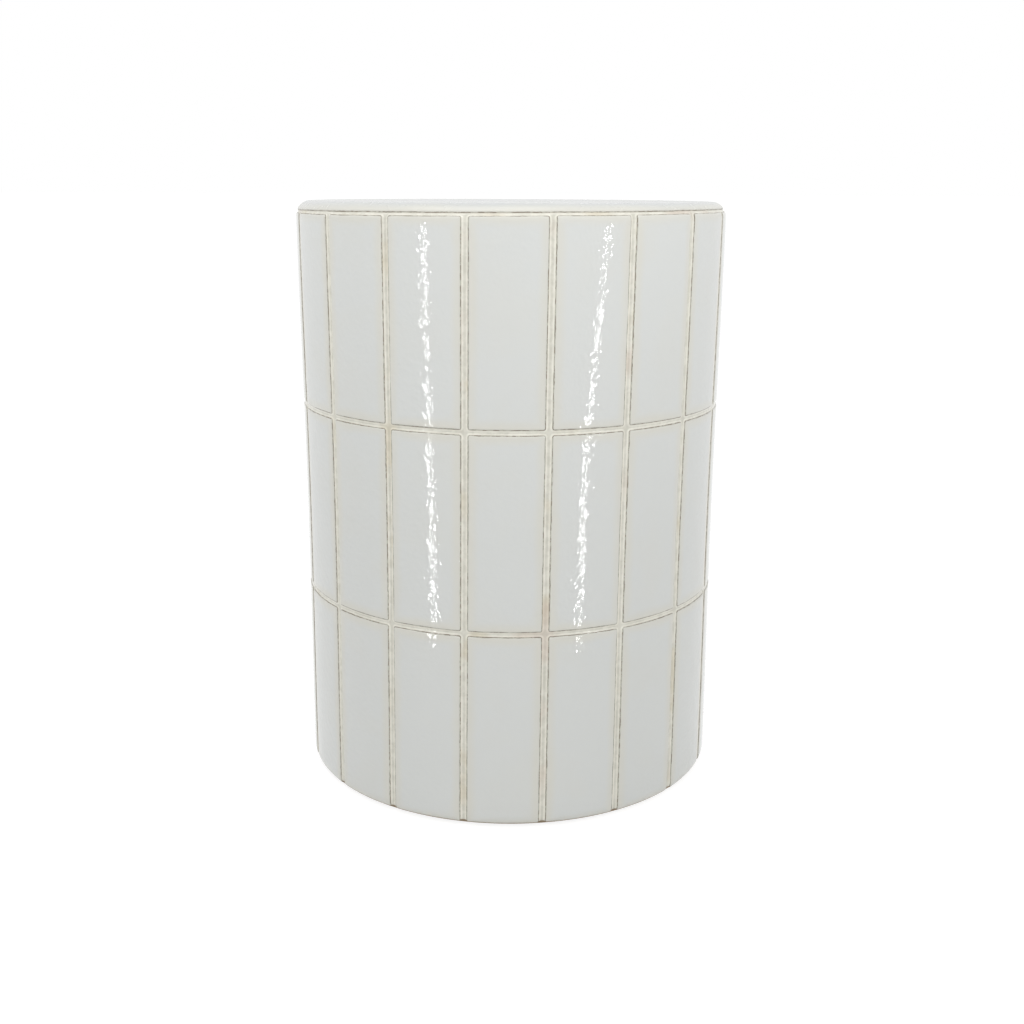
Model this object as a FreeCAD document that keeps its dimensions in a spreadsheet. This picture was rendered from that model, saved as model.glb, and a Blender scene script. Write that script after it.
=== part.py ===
import FreeCAD, Part

import math
import os

import Sketcher

# Ceramic garden stool: a hollow stoneware drum that is open underneath, with a grid of raised panels.
# The drum's axis is Z, the floor is at zero, and one column of panels faces -Y.
# Every profile is drawn in the radial plane, with x as the radius and y as the height.

START, END, CENTRE = range(1, 4)
AXIS_FOOT = (-1, 1)
UPRIGHT_AXIS = -2
MATCH = 0.001

# Driving sizes, in millimetres and degrees
DRIVING_SIZES = [
    ("seat_height", 450, "floor to the top of the seat"),
    ("drum_diameter", 332, "across the faces of the panels"),
    ("wall_thickness", 6, "cast wall behind the panels"),
    ("seat_thickness", 12, "seat slab"),
    ("shoulder_radius", 11.5, "rounding between the seat and the side"),
    ("end_gusset", 8, "clay coil worked into each inner corner of the wall, as a slope"),
    ("foot_width", 34, "radial width of the foot ring"),
    ("foot_thickness", 12, "height of the foot ring"),
    ("foot_roll", 5, "radius that the bottom edge turns under by, in two flats"),
    ("foot_bevel", 2.5, "bevel on the inner edges of the foot ring"),
    ("foot_tilt", 60, "direction faced where the panels end under the bottom edge"),
    ("column_count", 18, "panels round the drum"),
    ("row_height", 146, "pitch of the level grooves"),
    ("rim_groove_tilt", 24.6, "direction that the top groove faces, up from level"),
    ("relief_depth", 2.5, "depth of the grooves"),
    ("column_groove", 5.4, "width of the upright grooves"),
    ("row_groove", 4.8, "width of the two lower level grooves"),
    ("rim_groove", 3, "width of the top groove, under the seat's lip"),
    ("pad_count", 4, "stick-on pads under the foot"),
    ("pad_diameter", 18, "one pad"),
    ("pad_thickness", 2, "one pad"),
]

# Radii that follow from the driving sizes
PANEL_RADIUS = "(Sizes.drum_diameter / 2)"
GROOVE_RADIUS = f"({PANEL_RADIUS} - Sizes.relief_depth)"
INNER_RADIUS = f"({GROOVE_RADIUS} - Sizes.wall_thickness)"
COIL_RADIUS = f"({INNER_RADIUS} - Sizes.end_gusset)"
SEAT_FLAT_RADIUS = f"({PANEL_RADIUS} - Sizes.shoulder_radius)"
FOOT_FLAT_RADIUS = f"({PANEL_RADIUS} - Sizes.foot_roll)"
HOLE_RADIUS = f"({PANEL_RADIUS} - Sizes.foot_width)"
PAD_CIRCLE = f"(({HOLE_RADIUS} + Sizes.foot_bevel + {FOOT_FLAT_RADIUS}) / 2)"
ON_AXIS = "0"

# Heights
SEAT_TOP = "Sizes.seat_height"
FOOT_UNDERSIDE = "Sizes.pad_thickness"
FOOT_TOP = f"({FOOT_UNDERSIDE} + Sizes.foot_thickness)"
ROLL_LEVEL = f"({FOOT_UNDERSIDE} + Sizes.foot_roll)"
SEAT_UNDERSIDE = f"({SEAT_TOP} - Sizes.seat_thickness)"
SHOULDER_LEVEL = f"({SEAT_TOP} - Sizes.shoulder_radius)"

# Directions round the two roundings, up from level at the shoulder and down from level at the foot
RIM_TILT = "(Sizes.rim_groove_tilt * 1 deg)"
RIM_HALF_GROOVE = "asin(Sizes.rim_groove / 2 / Sizes.shoulder_radius)"
LIP_TILT = f"({RIM_TILT} + {RIM_HALF_GROOVE})"
FOOT_TILT = "(Sizes.foot_tilt * 1 deg)"


def on_shoulder(reach, tilt):
    """Gives the radius and the height of a point round the shoulder's centre."""
    radius = f"({SEAT_FLAT_RADIUS} + {reach} * cos({tilt}))"
    height = f"({SHOULDER_LEVEL} + {reach} * sin({tilt}))"
    return radius, height


def on_foot_roll(reach, tilt):
    """Gives the radius and the height of a point round the centre of the foot's rounding."""
    radius = f"({FOOT_FLAT_RADIUS} + {reach} * cos({tilt}))"
    height = f"({ROLL_LEVEL} - {reach} * sin({tilt}))"
    return radius, height


LIP_OUTER = on_shoulder("Sizes.shoulder_radius", LIP_TILT)
LIP_INNER = on_shoulder("(Sizes.shoulder_radius - Sizes.relief_depth)", LIP_TILT)
TOE_OUTER = on_foot_roll("Sizes.foot_roll", FOOT_TILT)
TOE_INNER = on_foot_roll("(Sizes.foot_roll - Sizes.relief_depth)", FOOT_TILT)
_, RIM_GROOVE_LEVEL = on_shoulder("Sizes.shoulder_radius", RIM_TILT)
_, PANEL_TOP = on_shoulder("Sizes.shoulder_radius", f"({RIM_TILT} - {RIM_HALF_GROOVE})")

doc = FreeCAD.newDocument("GardenStool")
sizes = doc.addObject("Spreadsheet::Sheet", "Sizes")
for row, (alias, value, note) in enumerate(DRIVING_SIZES, start=1):
    sizes.set(f"A{row}", alias)
    sizes.set(f"B{row}", str(value))
    sizes.set(f"C{row}", note)
    sizes.setAlias(f"B{row}", alias)
doc.recompute()


def number(formula):
    """Works out a formula of the sheet, in millimetres or degrees."""
    result = sizes.evalExpression(formula)
    return float(getattr(result, "Value", result))


def spot(radius, height):
    return FreeCAD.Vector(number(radius), number(height), 0)


# Sketches and features

def radial_sketch(body, name):
    """Starts a sketch on the body's own XZ plane."""
    sketch = body.newObject("Sketcher::SketchObject", name)
    plane = next(item for item in body.Origin.OriginFeatures if item.Role == "XZ_Plane")
    sketch.AttachmentSupport = [(plane, "")]
    sketch.MapMode = "FlatFace"
    return sketch


def dimension(sketch, name, kind, where, formula):
    """Adds a named dimension that follows a formula of the sheet."""
    index = sketch.addConstraint(Sketcher.Constraint(kind, *where, number(formula)))
    sketch.renameConstraint(index, name)
    sketch.setExpression(f"Constraints.{name}", formula)


def place_point(sketch, name, where, radius, height):
    """Dimensions a point from the foot of the axis, or puts it on the axis."""
    if radius == ON_AXIS:
        sketch.addConstraint(Sketcher.Constraint("PointOnObject", *where, UPRIGHT_AXIS))
    else:
        dimension(sketch, f"{name}_radius", "DistanceX", (*AXIS_FOOT, *where), radius)
    dimension(sketch, f"{name}_height", "DistanceY", (*AXIS_FOOT, *where), height)


def draw_outline(sketch, corners, rounding=None):
    """Draws a closed outline through corners, each with a name, a radius and a height.

    Straight lines lead from corner to corner and back to the first. With a rounding, which is
    the name and the centre of an arc and the angles where it starts at the last corner and ends
    at the first, the way back is that arc instead.
    """
    spots = [spot(radius, height) for _, radius, height in corners]
    ways = list(zip(spots, spots[1:]))
    if rounding is None:
        ways.append((spots[-1], spots[0]))
    lines = [sketch.addGeometry(Part.LineSegment(*way), False) for way in ways]
    for before, after in zip(lines, lines[1:]):
        sketch.addConstraint(Sketcher.Constraint("Coincident", before, END, after, START))
    for line, corner in zip(lines, corners):
        place_point(sketch, corner[0], (line, START), *corner[1:])
    if rounding is None:
        sketch.addConstraint(Sketcher.Constraint("Coincident", lines[-1], END, lines[0], START))
        return
    name, centre, degrees = rounding
    reach = (spots[0] - spot(*centre)).Length
    circle = Part.Circle(spot(*centre), FreeCAD.Vector(0, 0, 1), reach)
    arc = sketch.addGeometry(Part.ArcOfCircle(circle, *map(math.radians, degrees)), False)
    place_point(sketch, name, (arc, CENTRE), *centre)
    sketch.addConstraint(Sketcher.Constraint("Coincident", lines[-1], END, arc, START))
    sketch.addConstraint(Sketcher.Constraint("Coincident", arc, END, lines[0], START))
    last_name, _, last_height = corners[-1]
    where = (*AXIS_FOOT, arc, START)
    dimension(sketch, f"{last_name}_height", "DistanceY", where, last_height)


def revolve(body, sketch):
    """Turns a profile about the drum's axis."""
    turned = body.newObject("PartDesign::Revolution", "Turned")
    turned.Profile = sketch
    turned.ReferenceAxis = (sketch, ["V_Axis"])
    turned.Angle = 360
    return turned


# The cast wall, thickened at both ends where the seat slab and the foot ring are joined on

def make_drum_wall():
    body = doc.addObject("PartDesign::Body", "drum_wall")
    sketch = radial_sketch(body, "WallProfile")
    draw_outline(sketch, [
        ("outer_foot", GROOVE_RADIUS, FOOT_TOP),
        ("outer_top", GROOVE_RADIUS, SEAT_UNDERSIDE),
        ("inner_top", COIL_RADIUS, SEAT_UNDERSIDE),
        ("top_gusset", INNER_RADIUS, f"({SEAT_UNDERSIDE} - Sizes.end_gusset)"),
        ("foot_gusset", INNER_RADIUS, f"({FOOT_TOP} + Sizes.end_gusset)"),
        ("inner_foot", COIL_RADIUS, FOOT_TOP),
    ])
    revolve(body, sketch)
    return body


# The seat slab, whose rounded edge ends in the lip over the top groove

def make_seat_slab():
    body = doc.addObject("PartDesign::Body", "seat_slab")
    sketch = radial_sketch(body, "SeatProfile")
    corners = [
        ("flat", SEAT_FLAT_RADIUS, SEAT_TOP),
        ("middle_high", ON_AXIS, SEAT_TOP),
        ("middle_low", ON_AXIS, SEAT_UNDERSIDE),
        ("rim_low", GROOVE_RADIUS, SEAT_UNDERSIDE),
        ("rim_high", GROOVE_RADIUS, PANEL_TOP),
        ("lip_inner", *LIP_INNER),
        ("lip_outer", *LIP_OUTER),
    ]
    shoulder = ("shoulder", (SEAT_FLAT_RADIUS, SHOULDER_LEVEL), (number(LIP_TILT), 90))
    draw_outline(sketch, corners, shoulder)
    revolve(body, sketch)
    return body


# The foot ring, turned inwards under the wall, with the toe that finishes the bottom edge

def make_foot_ring():
    body = doc.addObject("PartDesign::Body", "foot_ring")
    sketch = radial_sketch(body, "FootProfile")
    draw_outline(sketch, [
        ("flat", FOOT_FLAT_RADIUS, FOOT_UNDERSIDE),
        ("hole_low", HOLE_RADIUS, FOOT_UNDERSIDE),
        ("hole_high", HOLE_RADIUS, FOOT_TOP),
        ("rim_high", GROOVE_RADIUS, FOOT_TOP),
        ("rim_low", GROOVE_RADIUS, ROLL_LEVEL),
        ("toe_inner", *TOE_INNER),
        ("toe_outer", *TOE_OUTER),
    ])
    ring = revolve(body, sketch)
    doc.recompute()
    hole_radius = number(HOLE_RADIUS)
    edges = enumerate(ring.Shape.Edges, start=1)
    rims = [f"Edge{place}" for place, edge in edges if is_circle(edge, hole_radius)]
    bevel = body.newObject("PartDesign::Chamfer", "HoleBevels")
    bevel.Base = (ring, rims)
    bevel.setExpression("Size", "Sizes.foot_bevel")
    return body


def is_circle(edge, radius):
    return isinstance(edge.Curve, Part.Circle) and abs(edge.Curve.Radius - radius) < MATCH


# The raised panels, each a curved skin on the wall between its grooves

def groove_level(count):
    """Gives the level of a groove, counted down from the one under the seat."""
    return f"({RIM_GROOVE_LEVEL} - Sizes.row_height * {count})"


def above(groove):
    return f"({groove} + Sizes.row_groove / 2)"


def below(groove):
    return f"({groove} - Sizes.row_groove / 2)"


def upper_edge(level):
    return [("back_high", GROOVE_RADIUS, level), ("face_high", PANEL_RADIUS, level)]


def lower_edge(level):
    return [("face_low", PANEL_RADIUS, level), ("back_low", GROOVE_RADIUS, level)]


def turned_under():
    """Gives the corners of a lower edge that follows the rounding down to the toe."""
    return [
        ("face_low", PANEL_RADIUS, ROLL_LEVEL),
        ("toe_outer", *TOE_OUTER),
        ("toe_inner", *TOE_INNER),
        ("back_low", GROOVE_RADIUS, ROLL_LEVEL),
    ]


PANEL_ROWS = {
    "upper": upper_edge(PANEL_TOP) + lower_edge(above(groove_level(1))),
    "middle": upper_edge(below(groove_level(1))) + lower_edge(above(groove_level(2))),
    "lower": upper_edge(below(groove_level(2))) + turned_under(),
}
HALF_COLUMN_GROOVE = f"asin(Sizes.column_groove / 2 / {PANEL_RADIUS})"
PANEL_SPAN = f"(360 deg / Sizes.column_count - 2 * {HALF_COLUMN_GROOVE})"


def make_panel(row_name, corners, column):
    """Builds one panel, its column counted from the front towards +X."""
    body = doc.addObject("PartDesign::Body", f"{row_name}_panel_{column + 1:02d}")
    sketch = radial_sketch(body, "PanelProfile")
    draw_outline(sketch, corners)
    skin = revolve(body, sketch)
    skin.Midplane = True
    skin.setExpression("Angle", PANEL_SPAN)
    turn = f"360 deg * {column} / Sizes.column_count - 90 deg"
    body.setExpression("Placement.Rotation.Angle", turn)
    return body


# The pads, spaced evenly under the flat of the foot ring

def make_foot_pads():
    pads = []
    for place in range(int(number("Sizes.pad_count"))):
        pad = doc.addObject("Part::Cylinder", f"Pad{place + 1}")
        turn = f"((360 deg * {place} + 180 deg) / Sizes.pad_count)"
        pad.setExpression("Radius", "Sizes.pad_diameter / 2")
        pad.setExpression("Height", "Sizes.pad_thickness")
        pad.setExpression("Placement.Base.x", f"{PAD_CIRCLE} * cos({turn})")
        pad.setExpression("Placement.Base.y", f"{PAD_CIRCLE} * sin({turn})")
        pads.append(pad)
    group = doc.addObject("Part::Compound", "foot_pads")
    group.Links = pads
    return group


stool = [make_drum_wall(), make_seat_slab(), make_foot_ring(), make_foot_pads()]
for row_name, corners in PANEL_ROWS.items():
    for column in range(int(number("Sizes.column_count"))):
        stool.append(make_panel(row_name, corners, column))
doc.recompute()

for item in doc.Objects:
    if {"Invalid", "Error"} & set(item.State):
        raise RuntimeError(f"{item.Label} failed: {item.State}")
for piece in stool:
    if piece.Shape.isNull() or not piece.Shape.isValid():
        raise RuntimeError(f"{piece.Label} has no valid shape")

os.makedirs("parts", exist_ok=True)
for piece in stool:
    piece.Shape.exportStep(f"parts/{piece.Label}.step")
    print(piece.Label, len(piece.Shape.Solids), "solid", round(piece.Shape.Volume), "mm3")
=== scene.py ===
import logging
import math
from dataclasses import dataclass, field
from enum import Enum
from functools import cached_property

import bpy
import numpy as np
from mathutils import Matrix, Vector, noise


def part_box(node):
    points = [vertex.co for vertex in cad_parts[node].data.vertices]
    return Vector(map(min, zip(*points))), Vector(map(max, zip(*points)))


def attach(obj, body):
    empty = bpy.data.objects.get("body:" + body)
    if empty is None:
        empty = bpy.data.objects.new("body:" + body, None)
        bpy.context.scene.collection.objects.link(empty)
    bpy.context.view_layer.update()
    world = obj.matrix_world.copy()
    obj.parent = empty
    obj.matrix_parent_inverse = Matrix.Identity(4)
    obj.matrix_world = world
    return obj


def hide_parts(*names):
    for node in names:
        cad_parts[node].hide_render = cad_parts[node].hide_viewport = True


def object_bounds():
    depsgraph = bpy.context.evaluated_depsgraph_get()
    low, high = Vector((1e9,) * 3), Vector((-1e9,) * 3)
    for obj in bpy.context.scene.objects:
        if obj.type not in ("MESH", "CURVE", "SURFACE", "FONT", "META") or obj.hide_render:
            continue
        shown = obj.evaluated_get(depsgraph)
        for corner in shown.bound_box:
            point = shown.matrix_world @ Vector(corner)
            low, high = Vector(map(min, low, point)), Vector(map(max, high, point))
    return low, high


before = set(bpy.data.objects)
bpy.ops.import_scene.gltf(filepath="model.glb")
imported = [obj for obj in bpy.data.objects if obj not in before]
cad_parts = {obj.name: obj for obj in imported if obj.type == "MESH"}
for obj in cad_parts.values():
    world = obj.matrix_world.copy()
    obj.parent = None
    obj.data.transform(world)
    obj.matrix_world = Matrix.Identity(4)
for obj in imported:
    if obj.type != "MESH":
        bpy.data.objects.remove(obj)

# Looks of the ceramic garden stool: glazed relief panels on a glazed drum, a clay foot and soft pads.
# Lengths are in metres. The drum's axis is Z, and angles round it are counted from -Y towards +X.

MM = 0.001
CAD_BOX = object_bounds()
BODY = "root"

# Two distances that the mesh carries at its vertices, in millimetres: how far a vertex lies outside a
# panel's edge, and how far past the end of the glaze.
RIM = "rim"
BARE = "bare"

# The same two distances, in metres, for places far from any panel's edge or the end of the glaze.
NO_EDGE = -30 * MM
GLAZED = -100 * MM
UNGLAZED = 10 * MM

# Numbers of the two finishes that a turned piece has.
GLAZE_FINISH = 0
CLAY_FINISH = 1

# Radians by which the columns, laid out by hand, spread at the front and lean over the stool's height.
FRONT_SPREAD = 0.018
COLUMN_LEAN = 0.02

Colour = tuple[float, float, float, float]
Place = tuple[float, float, float]
WHITE: Colour = (1.0, 1.0, 1.0, 1.0)

log = logging.getLogger("garden_stool")


class Row(Enum):
    """The three rows of raised panels."""

    UPPER = "upper"
    MIDDLE = "middle"
    LOWER = "lower"


def reach(node: str, corner: int, axis: int) -> float:
    """Gives one coordinate of a node's box.

    Args:
        node: Name of the node.
        corner: 0 for the lowest corner, 1 for the highest.
        axis: 0, 1 or 2 for x, y or z.

    Returns:
        The coordinate, in metres.
    """
    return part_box(node)[corner][axis]


def smooth_step(low: float, high: float, value: np.ndarray) -> np.ndarray:
    """Rises smoothly from 0 at low to 1 at high.

    Args:
        low: Value at which the rise starts.
        high: Value at which the rise ends. It may be under low, and then it falls.
        value: Values to map.

    Returns:
        Shares from 0 to 1.
    """
    share = np.clip((value - low) / (high - low), 0.0, 1.0)
    return share * share * (3.0 - 2.0 * share)


def ripple(points: np.ndarray, wavelength: float, offset: float) -> np.ndarray:
    """Gives gentle noise, fixed in space, from -1 to 1.

    Args:
        points: Places, with x, y and z along the last axis.
        wavelength: Usual distance between two crests.
        offset: Moves the pattern, so that two ripples differ.

    Returns:
        One value for each place.
    """
    flat = points.reshape(-1, 3) / wavelength + offset
    values = [noise.noise(Vector(place)) for place in flat]
    return np.array(values).reshape(points.shape[:-1])


@dataclass(frozen=True)
class DrumForm:
    """The drum's outer form, followed upwards from the bottom edge, over the side and the shoulder.

    A place is named by the way run along the form, which is 0 where the side leaves the bottom
    rounding, the angle round the axis and the depth under the panels' faces. The faces stay a skin
    inside the solids of the source, and the waist draws the side in at half its height.
    """

    skin: float = 0.1 * MM
    shoulder: float = 11.5 * MM
    foot_roll: float = 5.0 * MM
    waist: float = 1.2 * MM
    top_rise: float = 1.2 * MM
    rise_length: float = 90.0 * MM
    radius: float = -reach("middle_panel_01", 0, 1)
    top: float = reach("seat_slab", 1, 2)
    bottom: float = reach("foot_ring", 0, 2)

    @property
    def face_radius(self) -> float:
        """Radius of the panels' faces at the ends of the side."""
        return self.radius - self.skin

    @property
    def side_foot(self) -> float:
        """Height at which the side leaves the bottom rounding."""
        return self.bottom + self.foot_roll

    @property
    def side(self) -> float:
        """Length of the upright side."""
        return self.top - self.shoulder - self.side_foot

    @property
    def way_up(self) -> float:
        """Way run from the bottom rounding to the seat's flat."""
        return self.side + self.shoulder * math.pi / 2

    def way_at(self, height: float) -> float:
        """Turns a height of the side or of the shoulder into the way run.

        Args:
            height: The height over the floor.

        Returns:
            The way run along the form.
        """
        above = height - self.side_foot - self.side
        if above <= 0:
            return height - self.side_foot
        return self.side + self.shoulder * math.asin(above / self.shoulder)

    def way_below(self, tilt: float) -> float:
        """Gives the way run, under 0, where the bottom rounding has turned by a tilt in degrees."""
        return -self.foot_roll * math.radians(tilt)

    def moved(self, way: np.ndarray, angle: np.ndarray) -> np.ndarray:
        """Moves ways up or down near the top, where the hand-cut groove rises towards +X."""
        marks = (self.side - self.rise_length, self.side + self.shoulder / 2, self.way_up)
        return way + self.top_rise * np.sin(angle) * np.interp(way, marks, (0.0, 1.0, 0.0))

    def section(
        self, way: np.ndarray, angle: np.ndarray, depth: np.ndarray
    ) -> tuple[np.ndarray, np.ndarray]:
        """Works out radii and heights.

        Args:
            way: Ways run along the form.
            angle: Angles round the axis, in radians.
            depth: Depths under the panels' faces.

        Returns:
            The radii and the heights.
        """
        way = self.moved(way, angle)
        turn = np.where(way < 0, way / self.foot_roll, 0.0)
        turn = np.where(way > self.side, (way - self.side) / self.shoulder, turn)
        arc = np.where(way < 0, self.foot_roll, self.shoulder)
        drawn_in = self.waist * np.sin(np.pi * np.clip(way / self.side, 0.0, 1.0)) ** 2
        radius = self.face_radius - arc + (arc - depth) * np.cos(turn) - drawn_in
        height = self.side_foot + np.clip(way, 0.0, self.side) + (arc - depth) * np.sin(turn)
        high = self.top - self.skin * np.sin(turn)
        return radius, np.where(way > self.side, np.minimum(height, high), height)

    def place(self, way: np.ndarray, angle: np.ndarray, depth: np.ndarray) -> np.ndarray:
        """Works out points in space.

        Args:
            way: Ways run along the form.
            angle: Angles round the axis, in radians.
            depth: Depths under the panels' faces.

        Returns:
            Points, with x, y and z along the last axis.
        """
        radius, height = self.section(way, angle, depth)
        return around(radius, height, angle)


def around(radius: np.ndarray, height: np.ndarray, angle: np.ndarray) -> np.ndarray:
    """Places points by radius, height and angle from -Y towards +X, with the columns' spread and lean.

    Args:
        radius: Distances from the axis.
        height: Heights over the floor.
        angle: Angles round the axis, in radians.

    Returns:
        Points, with x, y and z along the last axis.
    """
    lean = COLUMN_LEAN * (height / CAD_BOX[1][2] - 0.5)
    turn = angle + FRONT_SPREAD * np.sin(angle) + lean
    parts = np.broadcast_arrays(radius * np.sin(turn), -radius * np.cos(turn), height)
    return np.stack(parts, axis=-1)


@dataclass(frozen=True)
class Relief:
    """The grid of panels and grooves, and the section of both.

    The levels are depths under the panels' faces: edge_level beside a panel and floor_level in the
    middle of a groove. The toe is where the panels end under the bottom edge, at a tilt in degrees.
    """

    form: DrumForm = DrumForm()
    columns: int = sum(name.startswith("upper_panel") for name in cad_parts)
    column_groove: float = 5.4 * MM
    rim_groove: float = 3.0 * MM
    glaze_run: float = 0.3 * MM
    glaze_end: float = -2.8 * MM
    corner: float = 1.2 * MM
    arris: float = 0.9 * MM
    arris_steps: int = 6
    edge_level: float = 0.62 * MM
    floor_level: float = 1.35 * MM
    floor_power: float = 2.0
    pillow: float = 0.12 * MM
    pillow_width: float = 6.0 * MM
    toe_tilt: float = 60.0

    @property
    def pitch(self) -> float:
        """Distance between two upright grooves, along the panels' faces."""
        return 2 * math.pi * self.form.radius / self.columns

    @property
    def half_width(self) -> float:
        """Half the width of a panel."""
        return (self.pitch - self.column_groove) / 2

    @property
    def half_row_groove(self) -> float:
        """Half the width of a level groove, into which the glaze has run from both sides."""
        return (reach("upper_panel_01", 0, 2) - reach("middle_panel_01", 1, 2)) / 2 - self.glaze_run

    @property
    def toe(self) -> float:
        """Way run at which the panels end under the bottom edge."""
        return self.form.way_below(self.toe_tilt)

    @property
    def lip(self) -> float:
        """Way run at which the seat's lip starts over the top groove."""
        return self.row_ends(Row.UPPER)[1] + self.rim_groove

    def arris_lines(self) -> list[float]:
        """Gives the distances from an edge of the lines that make its arris round."""
        turns = np.linspace(math.pi / 2, 0, self.arris_steps + 1)
        return list(self.arris * (1 - np.sin(turns)))

    def row_ends(self, row: Row) -> tuple[float, float]:
        """Works out where a row of panels starts and ends.

        Args:
            row: The row.

        Returns:
            The ways run at its lower and its upper edge.
        """
        low, high = (self.form.way_at(reach(f"{row.value}_panel_01", corner, 2)) for corner in (0, 1))
        low = self.toe if row is Row.LOWER else low - self.glaze_run
        return low, high if row is Row.UPPER else high + self.glaze_run

    def beyond_edge(self, across: np.ndarray, way: np.ndarray, row: Row) -> np.ndarray:
        """Measures how far places lie outside a panel with rounded corners.

        Args:
            across: Distances from the panel's middle line.
            way: Ways run along the form.
            row: The panel's row.

        Returns:
            Distances, under 0 inside the panel.
        """
        low, high = self.row_ends(row)
        beside = np.abs(across) - self.half_width + self.corner
        over = np.abs(way - (low + high) / 2) - (high - low) / 2 + self.corner
        outside = np.hypot(np.maximum(beside, 0.0), np.maximum(over, 0.0))
        return outside + np.minimum(np.maximum(beside, over), 0.0) - self.corner

    def beyond_all(self, angle: np.ndarray, way: np.ndarray) -> np.ndarray:
        """Measures how far places lie outside the nearest panel of any row and column.

        Args:
            angle: Angles round the axis, in radians.
            way: Ways run along the form.

        Returns:
            Distances, under 0 inside a panel.
        """
        step = 2 * math.pi / self.columns
        across = (np.mod(angle + step / 2, step) - step / 2) * self.form.radius
        return np.min([self.beyond_edge(across, way, row) for row in Row], axis=0)

    def face_depth(self, beyond: np.ndarray) -> np.ndarray:
        """Gives the depth of a panel's face, which is slightly crowned and has a round arris.

        Args:
            beyond: Distances outside the panel's edge, under 0 inside.

        Returns:
            Depths under the middle of the face.
        """
        inward = np.clip(1.0 + beyond / self.arris, 0.0, 1.0)
        arris = self.arris * (1.0 - np.sqrt(1.0 - inward * inward))
        near = np.clip(1.0 + beyond / self.pillow_width, 0.0, 1.0)
        return arris + self.pillow * near * near

    def floor_depth(self, beyond: np.ndarray) -> np.ndarray:
        """Gives the depth of a groove, which is round at the bottom and rises to the panels."""
        share = np.clip(1.0 - beyond / self.half_row_groove, 0.0, 1.0) ** self.floor_power
        return self.floor_level - (self.floor_level - self.edge_level) * share


def graded(half: float, near_edge: list[float], step: float) -> np.ndarray:
    """Spaces lines finely at both ends of a span and evenly between.

    Args:
        half: Half the span.
        near_edge: Distances of the fine lines from each end, rising from 0.
        step: Largest distance between the even lines.

    Returns:
        Places from -half to half.
    """
    fine = np.array(near_edge)
    inner = half - fine[-1]
    count = max(2, math.ceil(2 * inner / step))
    even = np.linspace(-inner, inner, count + 1)[1:-1]
    return np.concatenate([fine - half, even, (half - fine)[::-1]])


def spread(ends: tuple[float, float], step: float) -> list[float]:
    """Spaces places evenly between two ends, which are left out."""
    count = max(2, math.ceil(abs(ends[1] - ends[0]) / step))
    return list(np.linspace(ends[0], ends[1], count + 1)[1:-1])


def show(
    name: str, points: np.ndarray, faces: list, rim: np.ndarray, bare: np.ndarray
) -> bpy.types.Object:
    """Makes a smooth mesh object in the scene.

    Args:
        name: Name of the piece.
        points: Its vertices.
        faces: Vertex numbers of each face.
        rim: How far each vertex lies outside a panel's edge, in millimetres.
        bare: How far each vertex lies past the end of the glaze, in millimetres.

    Returns:
        The new object.
    """
    mesh = bpy.data.meshes.new(name)
    mesh.from_pydata(points.tolist(), [], faces)
    for label, values in ((RIM, rim), (BARE, bare)):
        layer = mesh.attributes.new(label, "FLOAT", "POINT")
        layer.data.foreach_set("value", values.astype(np.float32))
    mesh.validate()
    mesh.shade_smooth()
    piece = bpy.data.objects.new(name, mesh)
    bpy.context.scene.collection.objects.link(piece)
    return piece


def settle(piece: bpy.types.Object, slot: str, *nodes: str) -> None:
    """Lets a piece ride on the stool and stand for its nodes.

    Args:
        piece: The finished piece.
        slot: Material slot of the record that it stands for. It is not used.
        *nodes: Nodes that it replaces.
    """
    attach(piece, BODY)
    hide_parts(*nodes)
    log.info("%s: %d faces, for %s", piece.name, len(piece.data.polygons), ", ".join(nodes))


def quad_strip(first: np.ndarray, second: np.ndarray, closed: bool) -> list[tuple[int, ...]]:
    """Joins two rows of vertices with four-sided faces.

    Args:
        first: Vertex numbers of one row.
        second: Vertex numbers of the other row.
        closed: Whether the last pair joins the first.

    Returns:
        Vertex numbers of each face.
    """
    if closed:
        first, second = np.append(first, first[0]), np.append(second, second[0])
    corners = (first[:-1], first[1:], second[1:], second[:-1])
    return list(zip(*(corner.tolist() for corner in corners)))


@dataclass
class Ring:
    """One ring of a turned piece, with a value for each angle."""

    radius: np.ndarray
    height: np.ndarray
    rim: np.ndarray
    bare: np.ndarray
    crease: bool = False
    finish: int = GLAZE_FINISH


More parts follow.
